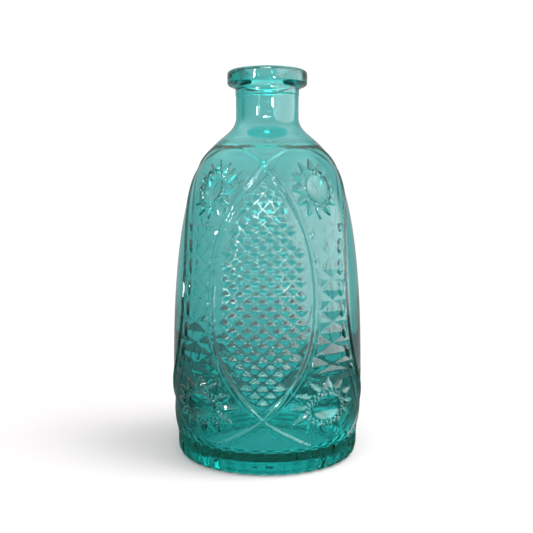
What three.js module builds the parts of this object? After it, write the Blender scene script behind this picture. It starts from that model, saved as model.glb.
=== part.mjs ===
// A medicine bottle: one piece of moulded glass, open at the mouth, with a flanged lip,
// a bell-shaped body and a fluted foot. Millimetres, +Z up, and the origin is the point
// where the bottle's axis meets the surface that it stands on.

import * as THREE from "three";

// Overall form
const HEIGHT = 165.4;
const WIDEST_RADIUS = 41.0;
const WIDEST_Z = 35.5;

// Foot: a flat ring to stand on round a push-up, a rounded heel and a band of upright flutes
const PUSH_UP_RADIUS = 28.3;
const PUSH_UP_EDGE_Z = 4.2;
const PUSH_UP_Z = 4.9;
const REST_INNER_RADIUS = 30.5;
const REST_OUTER_RADIUS = 34.1;
const HEEL_RADIUS = 39.4;
const HEEL_Z = 7.5;
const HEEL_PULL = 0.2;
const FLUTE_COUNT = 40;
const FLUTE_DEPTH = 0.9;
const FLUTE_TOP_Z = 11.3;
const FLUTE_TOP_RADIUS = 39.3;
const FLUTE_RUN_OUT = 1.8;

// Lower wall: a curve that leans out from the flutes to the widest place
const LOWER_LEAN = 0.46;
const LOWER_PULL = 5.5;

// Shoulder and throat: two curves that meet where the outline stops bulging
const TURN_RADIUS = 23.5;
const TURN_Z = 133.3;
const TURN_ANGLE = THREE.MathUtils.degToRad(47.1);
const SHOULDER_FULLNESS = 76.2;
const SHOULDER_PULL = 8.8;
const THROAT_PULL = 7.5;
const THROAT_FULLNESS = 6.35;
const THROAT_Z = 146.4;

// Neck and lip
const NECK_RADIUS = 13.5;
const LIP_RADIUS = 17.2;
const LIP_UNDERSIDE_Z = 157.9;
const LIP_EDGE_Z = 159.9;
const LIP_ROUNDING = 1.3;

// Inside
const BORE_RADIUS = 10.0;
const BORE_ROUNDING = 1.0;
const BODY_WALL = 3.2;
const LOWER_THICKENING = 2.8;
const LOWER_THICKENS_FROM_Z = 75.0;
const LOWER_THICKEST_Z = 15.0;
const WALL_THICKENS_FROM_Z = 95.0;
const FLOOR_Z = 7.7;
const FLOOR_CORNER = 5.0;

// Fineness of the faceting: every flute has one facet line in its hollow and one on its ridge
const FACETS_ROUND = FLUTE_COUNT * 2;
const LOWER_WALL_STEPS = 2;
const SHOULDER_STEPS = 8;
const THROAT_STEPS = 5;
const HEEL_STEPS = 3;
const CORNER_STEPS = 2;

const at = (radius, z) => new THREE.Vector2(radius, z);

function bezier(start, startHandle, endHandle, end, steps) {
  return new THREE.CubicBezierCurve(start, startHandle, endHandle, end).getPoints(steps);
}

// Points on a circular arc, from one compass angle to another, in degrees from +X.
function arc(centre, radius, fromDegrees, toDegrees) {
  const steps = Array.from({ length: CORNER_STEPS + 1 }, (_, i) => i / CORNER_STEPS);
  return steps.map((t) => {
    const angle = THREE.MathUtils.degToRad(THREE.MathUtils.lerp(fromDegrees, toDegrees, t));
    return at(centre.x + radius * Math.cos(angle), centre.y + radius * Math.sin(angle));
  });
}

// The outside of the wall, from the top of the flutes to the foot of the neck.
function wallCurvePoints() {
  const turn = at(TURN_RADIUS, TURN_Z);
  const inward = at(-Math.cos(TURN_ANGLE), Math.sin(TURN_ANGLE));
  const lowerWall = bezier(
    at(FLUTE_TOP_RADIUS, FLUTE_TOP_Z),
    at(FLUTE_TOP_RADIUS + LOWER_LEAN, FLUTE_TOP_Z + LOWER_PULL),
    at(WIDEST_RADIUS, WIDEST_Z - LOWER_PULL),
    at(WIDEST_RADIUS, WIDEST_Z),
    LOWER_WALL_STEPS,
  );
  const shoulder = bezier(
    at(WIDEST_RADIUS, WIDEST_Z),
    at(WIDEST_RADIUS, WIDEST_Z + SHOULDER_FULLNESS),
    turn.clone().addScaledVector(inward, -SHOULDER_PULL),
    turn,
    SHOULDER_STEPS,
  );
  const throat = bezier(
    turn,
    turn.clone().addScaledVector(inward, THROAT_PULL),
    at(NECK_RADIUS, THROAT_Z - THROAT_FULLNESS),
    at(NECK_RADIUS, THROAT_Z),
    THROAT_STEPS,
  );
  return [...lowerWall, ...shoulder.slice(1), ...throat.slice(1)];
}

function wallThickness(z) {
  const neckWall = NECK_RADIUS - BORE_RADIUS;
  const upper = THREE.MathUtils.smoothstep(z, WALL_THICKENS_FROM_Z, THROAT_Z);
  const lower = 1 - THREE.MathUtils.smoothstep(z, LOWER_THICKEST_Z, LOWER_THICKENS_FROM_Z);
  return THREE.MathUtils.lerp(BODY_WALL, neckWall, upper) + LOWER_THICKENING * lower;
}

// The inside of the wall, from the top of the floor's corner up: the outer points, each moved
// inwards square to the outline by the wall's thickness there.
function innerWallPoints(outer) {
  const inner = outer.map((point, i) => {
    const before = outer[Math.max(i - 1, 0)];
    const after = outer[Math.min(i + 1, outer.length - 1)];
    const along = after.clone().sub(before).normalize();
    const inwards = at(-along.y, along.x);
    return point.clone().addScaledVector(inwards, wallThickness(point.y));
  });
  return inner.filter((point) => point.y > FLOOR_Z + FLOOR_CORNER);
}

// The push-up, the flat ring to stand on, the heel and the fluted band.
function footPoints() {
  const heel = bezier(
    at(REST_OUTER_RADIUS, 0),
    at(HEEL_RADIUS - HEEL_PULL, HEEL_PULL),
    at(HEEL_RADIUS, HEEL_Z / 2),
    at(HEEL_RADIUS, HEEL_Z),
    HEEL_STEPS,
  );
  return [
    at(0, PUSH_UP_Z),
    at(PUSH_UP_RADIUS, PUSH_UP_EDGE_Z),
    at(REST_INNER_RADIUS, 0),
    ...heel,
    at(FLUTE_TOP_RADIUS, FLUTE_TOP_Z - FLUTE_RUN_OUT),
  ];
}

function lipPoints() {
  const outerEdge = at(LIP_RADIUS - LIP_ROUNDING, HEIGHT - LIP_ROUNDING);
  const innerEdge = at(BORE_RADIUS + BORE_ROUNDING, HEIGHT - BORE_ROUNDING);
  return [
    at(NECK_RADIUS, LIP_UNDERSIDE_Z),
    at(LIP_RADIUS, LIP_EDGE_Z),
    ...arc(outerEdge, LIP_ROUNDING, 0, 90),
    ...arc(innerEdge, BORE_ROUNDING, 90, 180),
  ];
}

function floorPoints() {
  const wall = BODY_WALL + LOWER_THICKENING;
  const cornerCentre = at(FLUTE_TOP_RADIUS - wall - FLOOR_CORNER, FLOOR_Z + FLOOR_CORNER);
  return [...arc(cornerCentre, FLOOR_CORNER, 0, -90), at(0, FLOOR_Z)];
}

// The closed outline that is turned about the axis: up the outside, over the lip, down the inside.
function bottleOutline() {
  const outerWall = wallCurvePoints();
  const innerWall = innerWallPoints(outerWall).reverse();
  return [...footPoints(), ...outerWall, ...lipPoints(), ...innerWall, ...floorPoints()];
}

// How deep the hollows of the flutes are at a height on the outside.
function fluteDepth(z) {
  return FLUTE_DEPTH * THREE.MathUtils.clamp((FLUTE_TOP_Z - z) / FLUTE_RUN_OUT, 0, 1);
}

// Presses the flutes into the foot. One hollow faces straight forward, towards -Y.
function pressFlutes(geometry) {
  const positions = geometry.getAttribute("position");
  for (let i = 0; i < positions.count; i += 1) {
    const x = positions.getX(i);
    const y = positions.getY(i);
    const radius = Math.hypot(x, y);
    const outside = radius > (REST_INNER_RADIUS + REST_OUTER_RADIUS) / 2;
    if (outside && positions.getZ(i) < FLUTE_TOP_Z) {
      const hollow = (1 + Math.cos(FLUTE_COUNT * Math.atan2(y, x))) / 2;
      const scale = 1 - (hollow * fluteDepth(positions.getZ(i))) / radius;
      positions.setXY(i, x * scale, y * scale);
    }
  }
}

function glassBottle() {
  const geometry = new THREE.LatheGeometry(bottleOutline(), FACETS_ROUND);
  geometry.rotateX(Math.PI / 2);
  pressFlutes(geometry);
  geometry.computeVertexNormals();
  const glass = new THREE.MeshStandardMaterial({
    color: 0x1f8f88,
    roughness: 0.05,
    metalness: 0,
    transparent: true,
    opacity: 0.5,
  });
  const bottle = new THREE.Mesh(geometry, glass);
  bottle.name = "glass_bottle";
  return bottle;
}

const medicineBottle = new THREE.Group();
medicineBottle.add(glassBottle());

export default medicineBottle;
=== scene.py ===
"""Looks of a pressed-glass medicine bottle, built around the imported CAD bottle.

The bottle is one closed glass mesh. Its outline is turned about the Z axis. The pattern pressed into the
outside (diamond lattice, ribs, twelve-point stars, chains of facets) is a height above that outline, and the
flutes of the foot are pressed into it. One latticed panel faces front (-Y), and it repeats at the back.

The bottle's sizes are in millimetres. Angles round it are in degrees from its front. The camera, the floor
and the lamps are in metres.
"""

import math

import bpy
import numpy as np
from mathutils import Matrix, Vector


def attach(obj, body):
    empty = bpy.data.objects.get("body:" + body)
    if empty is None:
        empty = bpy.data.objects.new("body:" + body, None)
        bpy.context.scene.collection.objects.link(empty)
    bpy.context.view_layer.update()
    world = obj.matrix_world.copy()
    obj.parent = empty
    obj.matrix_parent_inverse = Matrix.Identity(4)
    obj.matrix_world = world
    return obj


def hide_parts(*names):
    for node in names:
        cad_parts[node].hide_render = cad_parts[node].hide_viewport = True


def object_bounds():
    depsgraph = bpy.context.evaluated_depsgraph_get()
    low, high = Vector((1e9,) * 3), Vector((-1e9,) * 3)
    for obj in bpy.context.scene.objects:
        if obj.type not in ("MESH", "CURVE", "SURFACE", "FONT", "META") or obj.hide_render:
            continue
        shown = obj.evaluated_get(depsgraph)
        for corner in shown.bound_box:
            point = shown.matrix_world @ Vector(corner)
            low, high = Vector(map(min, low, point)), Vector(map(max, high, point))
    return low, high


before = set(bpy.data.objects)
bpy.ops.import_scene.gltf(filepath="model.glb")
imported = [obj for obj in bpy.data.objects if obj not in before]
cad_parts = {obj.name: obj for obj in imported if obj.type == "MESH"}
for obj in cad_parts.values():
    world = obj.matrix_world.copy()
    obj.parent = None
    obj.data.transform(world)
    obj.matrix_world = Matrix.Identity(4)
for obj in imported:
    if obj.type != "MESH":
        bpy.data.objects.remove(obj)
cad_low, cad_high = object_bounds()

MM = 0.001
HEIGHT = (cad_high.z - cad_low.z) / MM
WIDEST_RADIUS = (cad_high.x - cad_low.x) / 2 / MM

# Underside: a push-up inside a flat ring to stand on, and the handles of the steep curve between them
PUSH_UP_RADIUS, PUSH_UP_EDGE_Z, PUSH_UP_Z = 28.3, 4.2, 4.9
REST_INNER_RADIUS, REST_OUTER_RADIUS = 30.5, 34.1
PUSH_UP_HANDLE, REST_HANDLE = (1.2, -0.2), (-0.6, 0.6)

# Foot and lower wall
HEEL_RADIUS, HEEL_Z, HEEL_PULL = 39.4, 7.5, 0.2
FLUTE_TOP_RADIUS, FLUTE_TOP_Z = 39.3, 11.3
WIDEST_Z = 35.5
LOWER_LEAN, LOWER_PULL = 0.46, 5.5

# Shoulder and throat meet where the outline turns from bulging to hollow
TURN_RADIUS, TURN_Z, TURN_ANGLE = 23.5, 133.3, math.radians(47.1)
SHOULDER_FULLNESS, SHOULDER_PULL = 76.2, 8.8
THROAT_PULL, THROAT_FULLNESS, THROAT_Z = 7.5, 6.35, 146.4

# Neck, the slight collar at its top, and lip
NECK_RADIUS = 13.5
COLLAR_Z, COLLAR_STEP, COLLAR_BLEND, COLLAR_START = 155.1, 0.22, 0.3, 0.5
LIP_RADIUS = 17.2
LIP_UNDERSIDE_Z, LIP_EDGE_Z, LIP_ROUNDING = 157.9, 159.9, 1.3
LIP_FILLET, LIP_FILLET_DROP, LIP_FILLET_HANDLE = 0.5, 0.6, (0.1, 0.2)
LIP_CORNER, LIP_CORNER_DROP, LIP_CORNER_PULL = 0.7, 0.5, 0.1

# Inside: bore, wall thickness and floor
BORE_RADIUS, BORE_ROUNDING = 10.0, 1.0
BODY_WALL, NECK_WALL = 3.2, NECK_RADIUS - BORE_RADIUS
WALL_THICKENS_FROM_Z = 95
LOWER_THICKENING, LOWER_THICKEST_Z, LOWER_THICKENS_FROM_Z = 2.8, 15, 75
THROAT_THICKENING, THROAT_THICKEST_Z, THROAT_RING_SPREAD = 1.0, 134.6, 1.3
FLOOR_Z, FLOOR_CORNER = 7.7, 5.0

# Flutes of the foot: hollows with arched tops, in a band that is itself pressed in a little
FLUTE_COUNT, FLUTE_DEPTH, FLUTE_ARCH, FLUTE_RUN_OUT = 40, 0.9, 0.7, 0.9
BAND_DEPTH, BAND_RUN_OUT = 0.25, 0.5

# The pattern fades in above the flutes and out on the throat, and is never laid out on a smaller radius
PATTERN_BOTTOM_Z = (FLUTE_TOP_Z + 0.3, FLUTE_TOP_Z + 1.2)
PATTERN_TOP_Z = (136, 139)
LEAST_PATTERN_RADIUS = 14

# Diamond lattice: 42 cells would go round the bottle, and only those inside the two panels are pressed
CELLS_ROUND = 42
CELL_DEGREES = 360 / CELLS_ROUND
CELL_HEIGHT = 5.674
LATTICE_BOTTOM_Z = 29.9
LATTICE_ROWS = 15
LATTICE_TOP_Z = LATTICE_BOTTOM_Z + LATTICE_ROWS * CELL_HEIGHT
LATTICE_MARGIN, LEAST_LATTICE_HALF_WIDTH, CELL_TOLERANCE = 5.0, 0.5, 1.0
LATTICE_STEP, LATTICE_HEIGHT = 0.12, 0.9
LATTICE_GAP, LATTICE_BLUNT, LATTICE_SQUARENESS = 0.12, 0.4, 3.0

# Panels are pointed ovals edged by ribs, which cross at both ends and run on as tails
PANEL_HALF_WIDTH, PANEL_WIDEST_Z, PANEL_POWER = 22.0, 68.0, 2.4
CROSSING_TOP_Z, CROSSING_BOTTOM_Z = 124.3, 23.2
LOWER_TAIL_SLOPE, LOWER_TAIL_CURVE, UPPER_TAIL_SLOPE = 1.2, 0.034, 0.95
RIB_HALF_WIDTH, RIB_HEIGHT, RIB_BEVEL, RIB_CROWN = 1.55, 0.6, 0.5, 0.2
CROSSING_WIDTH, CROSSING_HEIGHT, CROSSING_REACH = 0.5, 0.75, 7
UPPER_TAIL_FADE, UPPER_TAIL_LOWERING = (2, 12), 0.82
SLOPE_STEP = 0.05

# Chain of facets between a front panel and a side panel, with a row of beads on the side panel's side
CHAIN_PITCH, CHAIN_NODE_Z, CHAIN_RISE = 8.6, 96.0, 0.48
CHAIN_BULGE_DEGREES, CHAIN_BULGE_Z, CHAIN_BULGE_REACH = 5.0, 71, 43.5
CHAIN_BOTTOM_Z, CHAIN_TOP_Z = (40, 42), (99, 101)
CHAIN_MARGIN, CHAIN_EDGE, LEAST_CHAIN_REACH, CHAIN_BLUNT = 1.8, 0.9, 1, 0.1
BEAD_INSET, BEAD_HALF_WIDTH, BEAD_HALF_HEIGHT, BEAD_RISE = 3.4, 1.7, 3.3, 0.9

# Stars. Each has a height up the bottle, a half-width, a half-height and a rise above the wall
STAR_DEGREES = 38.3
LOWER_STAR = (27.6, 17.1, 12.0, 0.95)
UPPER_STAR = (114.5, 11.5, 12.5, 0.85)
STAR_POINTS, STAR_BEADS = 12, 24
# Radii as shares of the star: the notches between its points, and where points, beads and rim end inwards
STAR_NOTCH = 0.66
POINTS_FROM, BEADS_FROM, RIM_FROM = 0.61, 0.455, 0.40
BEADS_MIDDLE, BEADS_WIDTH, BEADS_BLUNT = 0.53, 0.17, 0.1
RIM_MIDDLE, RIM_WIDTH = 0.41, 0.055
POINT_SLOPE = 0.26
STAR_CLIFF = 0.45
# Heights as shares of the star's rise: the lowest place of each ring, and what is added at its highest
POINT_LOW, POINT_RISE = 0.5, 0.7
BEAD_LOW, BEAD_ADDED = 0.35, 0.6
RIM_LOW, RIM_RISE = 0.25, 0.8
BUTTON_TOP, BUTTON_DISH = 0.95, 1.15

# Small round pip where the ribs cross at the top
PIP_RADIUS, PIP_RIM, PIP_RISE = 1.1, 0.7, 1.0

# Fineness of the mesh. The rows above the lattice are a little further apart than the rows in it
STEPS_PER_HALF_CELL = 8
COLUMNS = CELLS_ROUND * 2 * STEPS_PER_HALF_CELL
ROW_STEP = CELL_HEIGHT / 2 / STEPS_PER_HALF_CELL
UPPER_ROW_STEP = ROW_STEP * 1.2
INSIDE_ROW_STEP = 1.2
INNERMOST_RADIUS = 1.0
KEPT_TRIANGLES = 450000
SHARP_ANGLE = math.radians(18)

# Glass. The tint's density and the ripple's scale are per metre, and the ripple's depth is in metres
GLASS_IOR = 1.5
GLASS_TINT, TINT_DENSITY = (0.0, 0.91, 0.893, 1), 250.0
RIPPLE_SCALE, RIPPLE_DETAIL, RIPPLE_STRENGTH, RIPPLE_DEPTH = 140.0, 2.0, 0.08, 0.0004
MOST_HAZE = 0.05

# Camera
CAMERA_AZIMUTH, CAMERA_DISTANCE, EYE_Z = math.radians(2.6), 0.343, 0.1067
PITCH, AIM_LEFT = math.radians(4.215), math.radians(0.057)
LENS_MM, SENSOR_MM = 53.0, 36.0

# Floor. Seen through the glass it is painted dark, a painted shade, apart from a painted pool of light round
# its middle, a little right of the axis, which also has a painted glow. Where the glass mirrors it, it is
# painted dark, a painted shade in the reflections
FLOOR_RADIUS, FLOOR_SIDES, FLOOR_ROUGHNESS = 0.2, 96, 0.9
FLOOR_COLOUR, PAINTED_DARK_MIRRORED_FLOOR = (0.435, 0.42, 0.422, 1), (0.06, 0.06, 0.06, 1)
PAINTED_LIGHT_POOL_MIDDLE, PAINTED_LIGHT_POOL_EDGE, PAINTED_LIGHT_POOL, PAINTED_SHADE_FAR_FLOOR = (0.01, 0, 0), (0.04, 0.075), 0.36, 0.055
PAINTED_GLOW_EDGE, PAINTED_FLOOR_GLOW = (0.03, 0.05), 0.22

# Room brightness, as the glass sees it: a direction (x, y, z) and how bright the room is that way
ROOM = (
    ((0, 1, 0), 0.37),
    ((0, 0.94, 0.34), 0.58),
    ((0, -1, 0), 1.1),
    ((0, -0.95, 0.3), 2.3),
    ((0, -0.8, 0.6), 1.5),
    ((0, -0.87, -0.5), 0.1),
    ((1, 0, 0), 0.45),
    ((-1, 0, 0), 0.25),
    ((-0.75, -0.3, 0.6), 1.8),
    ((0, 0, 1), 2.0),
    ((0, 0, -1), 0.2),
)
ROOM_SHARPNESS = 8.0
LEAST_FACING = 0.001
# A soft window on the right: its middle, how it fades at its sides and at its sill, and its brightness
WINDOW_MIDDLE = (0.966, -0.259, 0.0)
WINDOW_SIDES, WINDOW_SILL = (0.55, 0.85), (-0.17, -0.04)
WINDOW_BRIGHTNESS = 4.1
BACKDROP_WHITE = 1.05

# Soft boxes: name, place, what it faces, width and height, and radiance, where 1 is the background's white
LAMPS = (
    ("strip", (0, -0.92, 0.53), (0, 0, 0.1), (0.5, 0.1), 32),
    ("slot", (-0.56, -0.83, 0.33), (0, 0, 0.12), (0.06, 0.18), 90),
    ("spot", (0.37, -0.93, 0.21), (0, 0, 0.12), (0.12, 0.06), 80),
    ("low_left", (-0.76, -0.65, 0.064), (0, 0, 0.07), (0.06, 0.09), 30),
)
# A high soft light from the right that only lights the floor, for the bottle's shadow on the left
SHADOW_LAMP = ("shadow", (0.4, -0.1, 0.85), (0, 0, 0), (0.45, 0.45), 10)

# Light bounces that it takes to see through both walls and the pattern on them
MOST_BOUNCES, GLOSSY_BOUNCES = 32, 16

# Sockets of a Mix node, by number because their names repeat: factor, then two numbers or two colours
MIX_FACTOR = 0
MIX_NUMBERS, MIXED_NUMBER = (2, 3), 0
MIX_COLOURS, MIXED_COLOUR = (6, 7), 2


def smoothstep(low, high, x):
    t = np.clip((x - low) / (high - low), 0, 1)
    return t * t * (3 - 2 * t)


def bezier(start, start_handle, end_handle, end, steps=200):
    t = np.linspace(0, 1, steps)[:, None]
    p = [np.array(q, float) for q in (start, start_handle, end_handle, end)]
    return (1 - t) ** 3 * p[0] + 3 * (1 - t) ** 2 * t * p[1] + 3 * (1 - t) * t**2 * p[2] + t**3 * p[3]


def arc(centre, radius, from_degrees, to_degrees, steps=24):
    a = np.radians(np.linspace(from_degrees, to_degrees, steps))
    return np.stack([centre[0] + radius * np.cos(a), centre[1] + radius * np.sin(a)], 1)


def lengths_along(curve):
    """The length from a polyline's start to each of its points."""
    return np.concatenate([[0], np.cumsum(np.hypot(*np.diff(curve, axis=0).T))])


def resample(curve, spacing):
    """Points evenly spaced along a polyline, ends kept."""
    length = lengths_along(curve)
    keep = np.concatenate([[True], np.diff(length) > 1e-9])
    length, curve = length[keep], curve[keep]
    at = np.linspace(0, length[-1], max(2, round(length[-1] / spacing) + 1))
    return np.stack([np.interp(at, length, curve[:, 0]), np.interp(at, length, curve[:, 1])], 1)


def wall_curve():
    """The outside of the wall, from the top of the flutes to the foot of the neck."""
    turn = np.array([TURN_RADIUS, TURN_Z])
    inward = np.array([-math.cos(TURN_ANGLE), math.sin(TURN_ANGLE)])
    widest = (WIDEST_RADIUS, WIDEST_Z)
    lower = bezier(
        (FLUTE_TOP_RADIUS, FLUTE_TOP_Z),
        (FLUTE_TOP_RADIUS + LOWER_LEAN, FLUTE_TOP_Z + LOWER_PULL),
        (WIDEST_RADIUS, WIDEST_Z - LOWER_PULL),
        widest,
    )
    shoulder = bezier(
        widest,
        (WIDEST_RADIUS, WIDEST_Z + SHOULDER_FULLNESS),
        turn - inward * SHOULDER_PULL,
        turn,
        steps=800,
    )
    throat = bezier(
        turn,
        turn + inward * THROAT_PULL,
        (NECK_RADIUS, THROAT_Z - THROAT_FULLNESS),
        (NECK_RADIUS, THROAT_Z),
    )
    return np.vstack([lower, shoulder[1:], throat[1:]])


def collar_and_lip_curve():
    """The outside from the top of the neck, over the collar and under the lip, to the lip's flat top."""
    collar_radius = NECK_RADIUS + COLLAR_STEP
    collar = bezier(
        (NECK_RADIUS, COLLAR_Z - COLLAR_START),
        (NECK_RADIUS, COLLAR_Z),
        (collar_radius, COLLAR_Z - COLLAR_BLEND),
        (collar_radius, COLLAR_Z + COLLAR_BLEND),
        steps=10,
    )
    under_lip = bezier(
        (collar_radius, LIP_UNDERSIDE_Z - LIP_FILLET_DROP),
        (collar_radius, LIP_UNDERSIDE_Z),
        (collar_radius + LIP_FILLET_HANDLE[0], LIP_UNDERSIDE_Z + LIP_FILLET_HANDLE[1]),
        (collar_radius + LIP_FILLET, LIP_UNDERSIDE_Z + LIP_FILLET),
        steps=12,
    )
    lip_corner = bezier(
        (LIP_RADIUS - LIP_CORNER, LIP_EDGE_Z - LIP_CORNER_DROP),
        (LIP_RADIUS - LIP_CORNER_PULL, LIP_EDGE_Z - LIP_CORNER_PULL),
        (LIP_RADIUS, LIP_EDGE_Z),
        (LIP_RADIUS, LIP_EDGE_Z + LIP_CORNER),
        steps=12,
    )
    lip_top = arc((LIP_RADIUS - LIP_ROUNDING, HEIGHT - LIP_ROUNDING), LIP_ROUNDING, 0, 90)
    return np.vstack([collar, under_lip, lip_corner, lip_top])


def heel_curve():
    """The outside of the foot, from the rest ring's outer edge up to where the flutes stand upright."""
    return bezier(
        (REST_OUTER_RADIUS, 0),
        (HEEL_RADIUS - HEEL_PULL, HEEL_PULL),
        (HEEL_RADIUS, HEEL_Z * 0.5),
        (HEEL_RADIUS, HEEL_Z),
        steps=40,
    )


def inside_curve():
    """The inner outline, from the flat top of the lip down to a small ring round the axis at the floor."""
    along = np.gradient(WALL, axis=0)
    along /= np.linalg.norm(along, axis=1)[:, None]
    z = WALL[:, 1]
    thickness = BODY_WALL + (NECK_WALL - BODY_WALL) * smoothstep(WALL_THICKENS_FROM_Z, THROAT_Z, z)
    thickness += LOWER_THICKENING * (1 - smoothstep(LOWER_THICKEST_Z, LOWER_THICKENS_FROM_Z, z))
    thickness += THROAT_THICKENING * np.exp(-(((z - THROAT_THICKEST_Z) / THROAT_RING_SPREAD) ** 2))
    inner = WALL + np.stack([-along[:, 1], along[:, 0]], 1) * thickness[:, None]
    inner = inner[inner[:, 1] > FLOOR_Z + FLOOR_CORNER][::-1]
    mouth = arc((BORE_RADIUS + BORE_ROUNDING, HEIGHT - BORE_ROUNDING), BORE_ROUNDING, 90, 180)
    corner_centre = (inner[-1, 0] - FLOOR_CORNER, FLOOR_Z + FLOOR_CORNER)
    corner = arc(corner_centre, FLOOR_CORNER, 0, -90)
    return np.vstack([mouth, inner, corner, [[INNERMOST_RADIUS, FLOOR_Z]]])


def underside_curve():
    """The underside, from near the axis out across the push-up and its steep side to the rest ring."""
    share = np.linspace(INNERMOST_RADIUS / PUSH_UP_RADIUS, 1, 10)[:, None]
    dome = np.hstack([PUSH_UP_RADIUS * share, PUSH_UP_Z - (PUSH_UP_Z - PUSH_UP_EDGE_Z) * share**2])
    side = bezier(
        (PUSH_UP_RADIUS, PUSH_UP_EDGE_Z),
        (PUSH_UP_RADIUS + PUSH_UP_HANDLE[0], PUSH_UP_EDGE_Z + PUSH_UP_HANDLE[1]),
        (REST_INNER_RADIUS + REST_HANDLE[0], REST_HANDLE[1]),
        (REST_INNER_RADIUS, 0),
        steps=10,
    )
    ring = np.linspace((REST_INNER_RADIUS, 0), (REST_OUTER_RADIUS, 0), 4)
    return np.vstack([dome, side[1:], ring[1:-1]])


WALL = wall_curve()
OUTSIDE = np.vstack([heel_curve(), WALL, collar_and_lip_curve()])
OUTSIDE_ALONG = lengths_along(OUTSIDE)
# The outline's heights, made to rise a trace at every point, so that a height has one place along it
OUTSIDE_Z = np.maximum.accumulate(OUTSIDE[:, 1] + np.arange(len(OUTSIDE)) * 1e-9)


def wall_radius(z):
    return np.interp(z, WALL[:, 1], WALL[:, 0])


def diamond_points(across, up, blunt, gap=0.0, squareness=12.0):
    """Pyramids in a diamond grid, 0 in the grooves and 1 at the tips. Both coordinates count cells.

    blunt is how far from its tip a point is rounded off, gap the share of a cell that its flat groove takes,
    and squareness how sharp a pyramid's edges are: 2 makes a cone."""
    a, b = across + up, across - up
    a, b = 2 * np.abs(a - np.round(a)), 2 * np.abs(b - np.round(b))
    from_tip = (a**squareness + b**squareness) ** (1 / squareness)
    point = np.clip((1 - from_tip - gap) / (1 - gap), 0, 1)
    return 1 - (np.hypot(1 - point, blunt) - blunt) / (math.hypot(1, blunt) - blunt)


def panel_half_width(z, rise):
    """Distance round the wall from a panel's middle to its rib: the oval, and past each crossing the tails.

    rise is the length along the outline above the upper crossing."""
    up = (z - PANEL_WIDEST_Z) / (CROSSING_TOP_Z - PANEL_WIDEST_Z)
    down = (PANEL_WIDEST_Z - z) / (PANEL_WIDEST_Z - CROSSING_BOTTOM_Z)
    share = np.clip(np.maximum(up, down), 0, 1)
    oval = PANEL_HALF_WIDTH * (1 - share**PANEL_POWER)
    fall = np.maximum(CROSSING_BOTTOM_Z - z, 0)
    lower_tail = LOWER_TAIL_SLOPE * fall + LOWER_TAIL_CURVE * fall**2
    upper_tail = UPPER_TAIL_SLOPE * np.maximum(rise, 0)
    return oval + lower_tail + upper_tail


def rib(distance, half_width, height):
    """A flat-topped rib with bevelled edges and a slight crown, across its middle line."""
    across = np.abs(distance) / half_width
    bevel = np.clip((1 - across) / RIB_BEVEL, 0, 1)
    crown = RIB_CROWN * np.clip(1 - across**2, 0, 1)
    return height * bevel * (1 - RIB_CROWN + crown)


def ribs(from_front, from_side, z, rise):
    """The ribs round the front and side panels: narrower and lower at a crossing, wide and low at the top."""
    half = panel_half_width(z, rise)
    above = panel_half_width(z + SLOPE_STEP, rise + SLOPE_STEP)
    below = panel_half_width(z - SLOPE_STEP, rise - SLOPE_STEP)
    slope = (above - below) / (2 * SLOPE_STEP)
    square = 1 / np.sqrt(1 + slope**2)
    from_crossing = np.minimum(np.abs(z - CROSSING_BOTTOM_Z), np.abs(rise))
    taper = CROSSING_WIDTH + (1 - CROSSING_WIDTH) * smoothstep(0, CROSSING_REACH, from_crossing)
    spread = smoothstep(*UPPER_TAIL_FADE, rise)
    width = RIB_HALF_WIDTH * taper * (1 + spread)
    lowering = (CROSSING_HEIGHT + (1 - CROSSING_HEIGHT) * taper) * (1 - UPPER_TAIL_LOWERING * spread)
    tall = RIB_HEIGHT * lowering
    front_rib = rib((from_front - half) * square, width, tall)
    side_rib = rib((from_side - half) * square, width, tall)
    return np.maximum(front_rib, side_rib)


def chain(from_front, z, radius, half):
    """The chain of facets between the panels, with its beads."""
    bulge = CHAIN_BULGE_DEGREES * np.clip(1 - ((z - CHAIN_BULGE_Z) / CHAIN_BULGE_REACH) ** 2, 0, 1)
    middle = STAR_DEGREES + bulge
    x = from_front - np.radians(middle) * radius
    to_front_panel = np.maximum(np.radians(middle) * radius - half - CHAIN_MARGIN, LEAST_CHAIN_REACH)
    to_side_panel = np.maximum(np.radians(90 - middle) * radius - half - CHAIN_MARGIN, LEAST_CHAIN_REACH)
    reach = np.where(x < 0, to_front_panel, to_side_panel)
    links_up = (z - CHAIN_NODE_Z) / CHAIN_PITCH + 0.5
    facets = diamond_points(x / (2 * reach), links_up, CHAIN_BLUNT)
    fade = np.clip((reach - np.abs(x)) / CHAIN_EDGE, 0, 1)
    fade = fade * smoothstep(*CHAIN_BOTTOM_Z, z) * (1 - smoothstep(*CHAIN_TOP_Z, z))
    bead_up = (links_up - np.round(links_up)) * CHAIN_PITCH / BEAD_HALF_HEIGHT
    bead_across = (x - to_side_panel + BEAD_INSET) / BEAD_HALF_WIDTH
    bead = np.sqrt(np.clip(1 - bead_across**2 - bead_up**2, 0, 1))
    return np.maximum(CHAIN_RISE * facets * fade, BEAD_RISE * bead * np.clip(fade * 2, 0, 1))


def lattice(theta, z):
    """The lattice's height, and where it covers the wall: whole cells only, clear of the ribs."""
    across = ((theta + 90) % 180 - 90) / CELL_DEGREES
    up = (z - LATTICE_BOTTOM_Z) / CELL_HEIGHT
    a, b = np.round(across + up), np.round(across - up)
    cell_z = LATTICE_BOTTOM_Z + (a - b) / 2 * CELL_HEIGHT
    from_front = np.abs((a + b) / 2) * np.radians(CELL_DEGREES) * wall_radius(cell_z)
    room = panel_half_width(cell_z, np.zeros_like(cell_z)) - LATTICE_MARGIN
    covers = from_front <= np.maximum(room, LEAST_LATTICE_HALF_WIDTH)
    covers &= (cell_z > LATTICE_BOTTOM_Z - CELL_TOLERANCE) & (cell_z < LATTICE_TOP_Z + CELL_TOLERANCE)
    points = diamond_points(across, up, LATTICE_BLUNT, LATTICE_GAP, LATTICE_SQUARENESS)
    return LATTICE_STEP + LATTICE_HEIGHT * points, covers


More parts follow.
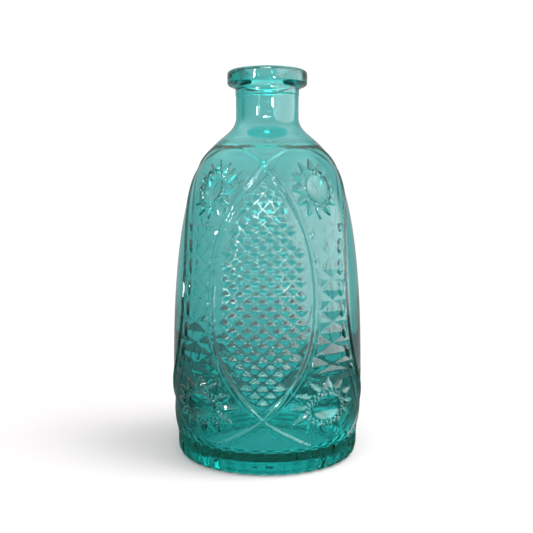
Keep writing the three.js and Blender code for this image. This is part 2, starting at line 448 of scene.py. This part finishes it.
def star(x, y, half_width, half_height):
    """A star with a dished button, as a share of its rise, and how much of it stands on the wall (0 to 1)."""
    px, py = x / half_width, y / half_height
    radius = np.hypot(px, py)
    turn = np.degrees(np.arctan2(px, py))
    half_point = 180 / STAR_POINTS
    off_tip = np.abs((turn + half_point) % (2 * half_point) - half_point) / half_point
    to_edge = STAR_NOTCH + (1 - STAR_NOTCH) * (1 - off_tip) - radius
    cover = np.clip(to_edge * (half_width + half_height) / 2 / STAR_CLIFF, 0, 1)
    points = POINT_LOW + POINT_RISE * np.clip(to_edge / POINT_SLOPE, 0, 1)
    bead = diamond_points(turn / (360 / STAR_BEADS), (radius - BEADS_MIDDLE) / BEADS_WIDTH, BEADS_BLUNT)
    beads = BEAD_LOW + BEAD_ADDED * bead
    rim = RIM_LOW + RIM_RISE * np.clip(1 - (np.abs(radius - RIM_MIDDLE) / RIM_WIDTH) ** 2, 0, 1)
    button = BUTTON_TOP - BUTTON_DISH * np.clip(1 - (radius / RIM_FROM) ** 2, 0, 1)
    top = np.where(radius > RIM_FROM, rim, button)
    top = np.where(radius > BEADS_FROM, beads, top)
    top = np.where(radius > POINTS_FROM, points, top)
    return top, cover


def with_pip(height, from_front, z):
    """Adds the ring-shaped pip, and clears what it encloses."""
    from_middle = np.hypot(from_front, z - CROSSING_TOP_Z)
    ring = np.clip(1 - ((from_middle - PIP_RADIUS) / PIP_RIM) ** 2, 0, 1)
    cleared = np.maximum(height * (from_middle > PIP_RADIUS), PIP_RISE * ring)
    return np.where(from_middle < PIP_RADIUS + PIP_RIM, cleared, height)


def relief(theta, z, along):
    """Height of the pressed pattern above the outline. along is the length along the outline."""
    radius = np.maximum(wall_radius(z), LEAST_PATTERN_RADIUS)
    folded = np.abs((theta + 90) % 180 - 90)
    from_front = np.radians(folded) * radius
    from_side = np.radians(90 - folded) * radius
    rise = along - np.interp(CROSSING_TOP_Z, OUTSIDE_Z, OUTSIDE_ALONG)
    height = np.maximum(
        ribs(from_front, from_side, z, rise), chain(from_front, z, radius, panel_half_width(z, rise))
    )
    lattice_height, in_lattice = lattice(theta, z)
    height = np.where(in_lattice, lattice_height, height)
    for star_z, half_width, half_height, star_rise in (LOWER_STAR, UPPER_STAR):
        x = from_front - np.radians(STAR_DEGREES) * radius
        star_top, cover = star(x, z - star_z, half_width, half_height)
        height = height * (1 - cover) + star_rise * star_top * cover
    height = with_pip(height, from_front, z)
    return height * smoothstep(*PATTERN_BOTTOM_Z, z) * (1 - smoothstep(*PATTERN_TOP_Z, z))


def flutes(theta, z):
    """How far the band of flutes stands out from the outline: below 0, because all of it is pressed in."""
    hollow = np.cos(np.radians(theta) * FLUTE_COUNT / 2) ** 2
    below_top = FLUTE_TOP_Z - FLUTE_ARCH + FLUTE_ARCH * hollow - z
    band = BAND_DEPTH * smoothstep(0, BAND_RUN_OUT, below_top)
    return -FLUTE_DEPTH * hollow * smoothstep(0, FLUTE_RUN_OUT, below_top) - band


def outer_rows():
    """Rows of the outside: even steps, except in the lattice, where they fall on its grooves and tips."""
    lattice_steps = (LATTICE_ROWS + 1) * 2 * STEPS_PER_HALF_CELL
    lattice_z = np.linspace(LATTICE_BOTTOM_Z - CELL_HEIGHT, LATTICE_TOP_Z, lattice_steps + 1)
    in_lattice = np.interp(lattice_z, OUTSIDE_Z, OUTSIDE_ALONG)
    steps_below = round(in_lattice[0] / ROW_STEP)
    below = np.linspace(0, in_lattice[0], steps_below + 1)[:-1]
    steps_above = round((OUTSIDE_ALONG[-1] - in_lattice[-1]) / UPPER_ROW_STEP)
    above = np.linspace(in_lattice[-1], OUTSIDE_ALONG[-1], steps_above + 1)[1:]
    return np.concatenate([below, in_lattice, above])


def outer_surface(theta):
    """The pressed outside: a row of radii and a row of heights for each step up the outline."""
    along = outer_rows()
    r = np.interp(along, OUTSIDE_ALONG, OUTSIDE[:, 0])
    z = np.interp(along, OUTSIDE_ALONG, OUTSIDE[:, 1])
    tangent = np.stack([np.gradient(r, along), np.gradient(z, along)], 1)
    tangent /= np.linalg.norm(tangent, axis=1)[:, None]
    grid_theta, grid_z = np.meshgrid(theta, z)
    height = relief(grid_theta, grid_z, np.repeat(along[:, None], COLUMNS, 1))
    outer_r = r[:, None] + height * tangent[:, 1][:, None] + flutes(grid_theta, grid_z)
    outer_z = z[:, None] - height * tangent[:, 0][:, None]
    return outer_r, outer_z


def all_rows():
    """Every ring of the bottle's points, in metres, from near the axis below to near the axis inside."""
    theta = np.arange(COLUMNS) * 360 / COLUMNS - 180
    under, inner = underside_curve(), resample(inside_curve(), INSIDE_ROW_STEP)
    rows = []
    for axis, outer in enumerate(outer_surface(theta)):
        turned = [np.repeat(curve[:, axis][:, None], COLUMNS, 1) for curve in (under, inner)]
        rows.append(np.vstack([turned[0], outer, turned[1]]))
    angle = np.radians(theta)
    return np.stack([rows[0] * np.sin(angle), -rows[0] * np.cos(angle), rows[1]], 2) * MM


def build_bottle():
    """The closed mesh: quads between the rings, and a fan round a pole at each end."""
    rings = all_rows()
    points = rings.reshape(-1, 3)
    low_pole, high_pole = len(points), len(points) + 1
    points = np.vstack([points, [[0, 0, PUSH_UP_Z * MM], [0, 0, FLOOR_Z * MM]]])
    i = np.arange(COLUMNS)
    j = (i + 1) % COLUMNS
    base = np.arange(len(rings) - 1)[:, None] * COLUMNS
    quads = np.stack([base + i, base + j, base + COLUMNS + j, base + COLUMNS + i], 2).reshape(-1, 4)
    last = (len(rings) - 1) * COLUMNS
    low_fan = np.stack([np.full(COLUMNS, low_pole), j, i], 1)
    high_fan = np.stack([np.full(COLUMNS, high_pole), last + i, last + j], 1)
    mesh = bpy.data.meshes.new("pressed_glass_bottle")
    mesh.from_pydata(points.tolist(), [], quads.tolist() + low_fan.tolist() + high_fan.tolist())
    bottle = bpy.data.objects.new("pressed_glass_bottle", mesh)
    bpy.context.scene.collection.objects.link(bottle)
    simplify(bottle, 2 * len(quads) + 2 * COLUMNS)
    bottle.data.shade_smooth()
    bottle.data.set_sharp_from_angle(angle=SHARP_ANGLE)
    bottle.data.materials.append(glass_material())
    return bottle


def simplify(bottle, triangles):
    """Swaps the bottle's mesh for one with fewer triangles, most of them kept where the pattern is."""
    reducer = bottle.modifiers.new("simplify", "DECIMATE")
    reducer.ratio = KEPT_TRIANGLES / triangles
    graph = bpy.context.evaluated_depsgraph_get()
    mesh = bpy.data.meshes.new_from_object(bottle.evaluated_get(graph))
    bottle.modifiers.clear()
    fine_mesh = bottle.data
    bottle.data = mesh
    bpy.data.meshes.remove(fine_mesh)
    mesh.name = "pressed_glass_bottle"


def add_node(tree, kind, inputs, **settings):
    """A node with its settings. An input is linked if its value is another node's output, and else set."""
    node = tree.nodes.new(kind)
    for name, value in settings.items():
        setattr(node, name, value)
    for socket, value in inputs.items():
        if isinstance(value, bpy.types.NodeSocket):
            tree.links.new(value, node.inputs[socket])
        else:
            node.inputs[socket].default_value = value
    return node


def faded(tree, value, limits, ends=(0.0, 1.0)):
    """A smooth change from one end to the other as a value goes from the lower limit to the upper."""
    inputs = {"Value": value}
    inputs["From Min"], inputs["From Max"] = limits
    inputs["To Min"], inputs["To Max"] = ends
    return add_node(tree, "ShaderNodeMapRange", inputs, interpolation_type="SMOOTHSTEP").outputs["Result"]


def arithmetic(tree, operation, first, second=0.0):
    return add_node(tree, "ShaderNodeMath", {0: first, 1: second}, operation=operation).outputs[0]


def vector_value(tree, operation, inputs):
    return add_node(tree, "ShaderNodeVectorMath", inputs, operation=operation).outputs["Value"]


def glass_material():
    material = bpy.data.materials.new("pressed_teal_glass")
    material.use_nodes = True
    tree = material.node_tree
    shader = tree.nodes["Principled BSDF"]
    shader.inputs["Base Color"].default_value = (1, 1, 1, 1)
    shader.inputs["Transmission Weight"].default_value = 1.0
    shader.inputs["IOR"].default_value = GLASS_IOR
    tint = add_node(tree, "ShaderNodeVolumeAbsorption", {"Color": GLASS_TINT, "Density": TINT_DENSITY})
    tree.links.new(tint.outputs["Volume"], tree.nodes["Material Output"].inputs["Volume"])
    place = add_node(tree, "ShaderNodeTexCoord", {}).outputs["Object"]
    ripple_inputs = {"Vector": place, "Scale": RIPPLE_SCALE, "Detail": RIPPLE_DETAIL}
    ripple = add_node(tree, "ShaderNodeTexNoise", ripple_inputs).outputs["Fac"]
    bump_inputs = {"Height": ripple, "Strength": RIPPLE_STRENGTH, "Distance": RIPPLE_DEPTH}
    bump = add_node(tree, "ShaderNodeBump", bump_inputs)
    tree.links.new(bump.outputs["Normal"], shader.inputs["Normal"])
    haze = add_node(tree, "ShaderNodeMapRange", {"Value": ripple, "To Min": 0.0, "To Max": MOST_HAZE})
    tree.links.new(haze.outputs["Result"], shader.inputs["Roughness"])
    return material


def add_camera():
    camera = bpy.data.objects.new("camera", bpy.data.cameras.new("camera"))
    camera.data.lens = LENS_MM
    camera.data.sensor_width = SENSOR_MM
    right = CAMERA_DISTANCE * math.sin(CAMERA_AZIMUTH)
    forward = CAMERA_DISTANCE * math.cos(CAMERA_AZIMUTH)
    camera.location = (right, -forward, EYE_Z)
    camera.rotation_euler = (math.pi / 2 - PITCH, 0, CAMERA_AZIMUTH + AIM_LEFT)
    bpy.context.scene.collection.objects.link(camera)
    bpy.context.scene.camera = camera


def add_floor():
    """A round pale floor, small enough that the bottle's body isn't seen against it."""
    angles = [2 * math.pi * i / FLOOR_SIDES for i in range(FLOOR_SIDES)]
    points = [(FLOOR_RADIUS * math.cos(a), FLOOR_RADIUS * math.sin(a), 0) for a in angles]
    mesh = bpy.data.meshes.new("floor")
    mesh.from_pydata(points, [], [tuple(range(FLOOR_SIDES))])
    floor = bpy.data.objects.new("floor", mesh)
    bpy.context.scene.collection.objects.link(floor)
    mesh.materials.append(floor_material())


def mixed_colour(tree, factor, first, second):
    inputs = {MIX_FACTOR: factor, MIX_COLOURS[0]: first, MIX_COLOURS[1]: second}
    return add_node(tree, "ShaderNodeMix", inputs, data_type="RGBA").outputs[MIXED_COLOUR]


def floor_material():
    """Pale to the camera. Painted dark, a painted shade, where the glass mirrors it; where it shows through,
    painted dark with a painted pool of light and a painted glow only close by.
    """
    material = bpy.data.materials.new("pale_floor_with_painted_light")
    material.use_nodes = True
    tree = material.node_tree
    shader = tree.nodes["Principled BSDF"]
    shader.inputs["Roughness"].default_value = FLOOR_ROUGHNESS
    shader.inputs["Specular IOR Level"].default_value = 0.0
    place = add_node(tree, "ShaderNodeTexCoord", {}).outputs["Object"]
    # The painted pool of light is centred a little right of the axis, so the left of the base looks shaded
    offset = add_node(tree, "ShaderNodeVectorMath", {0: place, 1: PAINTED_LIGHT_POOL_MIDDLE}, operation="SUBTRACT")
    from_middle = vector_value(tree, "LENGTH", {0: offset.outputs["Vector"]})
    # Seen through the glass: a painted pool of light near the middle, fading to painted shade further out
    painted_pool_through_glass = faded(tree, from_middle, PAINTED_LIGHT_POOL_EDGE, (PAINTED_LIGHT_POOL, PAINTED_SHADE_FAR_FLOOR))
    ray = add_node(tree, "ShaderNodeLightPath", {})
    # Seen mirrored in the glass the floor is painted dark, a painted shade in the reflections
    painted_floor_to_glass = mixed_colour(tree, ray.outputs["Is Transmission Ray"], PAINTED_DARK_MIRRORED_FLOOR, painted_pool_through_glass)
    colour = mixed_colour(tree, ray.outputs["Is Camera Ray"], painted_floor_to_glass, FLOOR_COLOUR)
    tree.links.new(colour, shader.inputs["Base Color"])
    # A painted glow round the middle, seen only through the glass: the floor glows though it is no lamp
    painted_glow = faded(tree, from_middle, PAINTED_GLOW_EDGE, (PAINTED_FLOOR_GLOW, 0.0))
    shader.inputs["Emission Color"].default_value = (1, 1, 1, 1)
    painted_glow_through_glass = arithmetic(tree, "MULTIPLY", painted_glow, ray.outputs["Is Transmission Ray"])
    tree.links.new(painted_glow_through_glass, shader.inputs["Emission Strength"])
    return material


def add_area_light(name, place, target, size, radiance):
    """A soft box. Its power is set from its radiance, where 1 is the white of the background."""
    light = bpy.data.lights.new(name, "AREA")
    light.shape = "RECTANGLE"
    light.size, light.size_y = size
    light.energy = radiance * math.pi * size[0] * size[1]
    lamp = bpy.data.objects.new(name, light)
    lamp.location = place
    lamp.rotation_euler = (Vector(target) - Vector(place)).to_track_quat("-Z", "Y").to_euler()
    bpy.context.scene.collection.objects.link(lamp)
    return lamp


def add_lamps():
    for lamp in LAMPS:
        add_area_light(*lamp)
    shadow_lamp = add_area_light(*SHADOW_LAMP)
    shadow_lamp.visible_glossy = False
    shadow_lamp.visible_transmission = False


def room_brightness(tree, direction):
    """The room's brightness in a direction: the mean of the listed ones, the nearest counting most."""
    total, weights = 0.0, 0.0
    for listed, brightness in ROOM:
        facing = vector_value(tree, "DOT_PRODUCT", {0: direction, 1: listed})
        weight = arithmetic(tree, "POWER", arithmetic(tree, "MAXIMUM", facing, LEAST_FACING), ROOM_SHARPNESS)
        total = arithmetic(tree, "ADD", total, arithmetic(tree, "MULTIPLY", weight, brightness))
        weights = arithmetic(tree, "ADD", weights, weight)
    return arithmetic(tree, "DIVIDE", total, weights)


def add_world():
    """White where the camera looks past the bottle. The glass sees a room that is graded by direction.

    Light that comes through the glass sees the back of the room on both sides, and no window."""
    world = bpy.data.worlds.new("studio")
    bpy.context.scene.world = world
    world.use_nodes = True
    tree = world.node_tree
    ray = add_node(tree, "ShaderNodeLightPath", {})
    through = ray.outputs["Is Transmission Ray"]
    place = add_node(tree, "ShaderNodeTexCoord", {}).outputs["Generated"]
    x, y, z = add_node(tree, "ShaderNodeSeparateXYZ", {0: place}).outputs
    to_back = arithmetic(tree, "SUBTRACT", arithmetic(tree, "ABSOLUTE", y), y)
    folded_y = arithmetic(tree, "ADD", y, arithmetic(tree, "MULTIPLY", through, to_back))
    direction = add_node(tree, "ShaderNodeCombineXYZ", {"X": x, "Y": folded_y, "Z": z}).outputs["Vector"]
    room = room_brightness(tree, direction)
    facing_window = vector_value(tree, "DOT_PRODUCT", {0: place, 1: WINDOW_MIDDLE})
    sides, sill = faded(tree, facing_window, WINDOW_SIDES), faded(tree, z, WINDOW_SILL)
    window = arithmetic(tree, "MULTIPLY", sides, sill)
    window = arithmetic(tree, "MULTIPLY", window, arithmetic(tree, "SUBTRACT", 1.0, through))
    room = arithmetic(tree, "ADD", room, arithmetic(tree, "MULTIPLY", window, WINDOW_BRIGHTNESS))
    inputs = {MIX_FACTOR: ray.outputs["Is Camera Ray"], MIX_NUMBERS[0]: room, MIX_NUMBERS[1]: BACKDROP_WHITE}
    seen = add_node(tree, "ShaderNodeMix", inputs).outputs[MIXED_NUMBER]
    tree.links.new(seen, tree.nodes["Background"].inputs["Strength"])
    tree.nodes["Background"].inputs["Color"].default_value = (1, 1, 1, 1)


bottle = build_bottle()
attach(bottle, "root")
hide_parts("glass_bottle")

add_camera()
add_floor()
add_world()
add_lamps()
bpy.context.scene.view_settings.view_transform = "Standard"
paths = bpy.context.scene.cycles
paths.max_bounces = paths.transmission_bounces = MOST_BOUNCES
paths.glossy_bounces = GLOSSY_BOUNCES
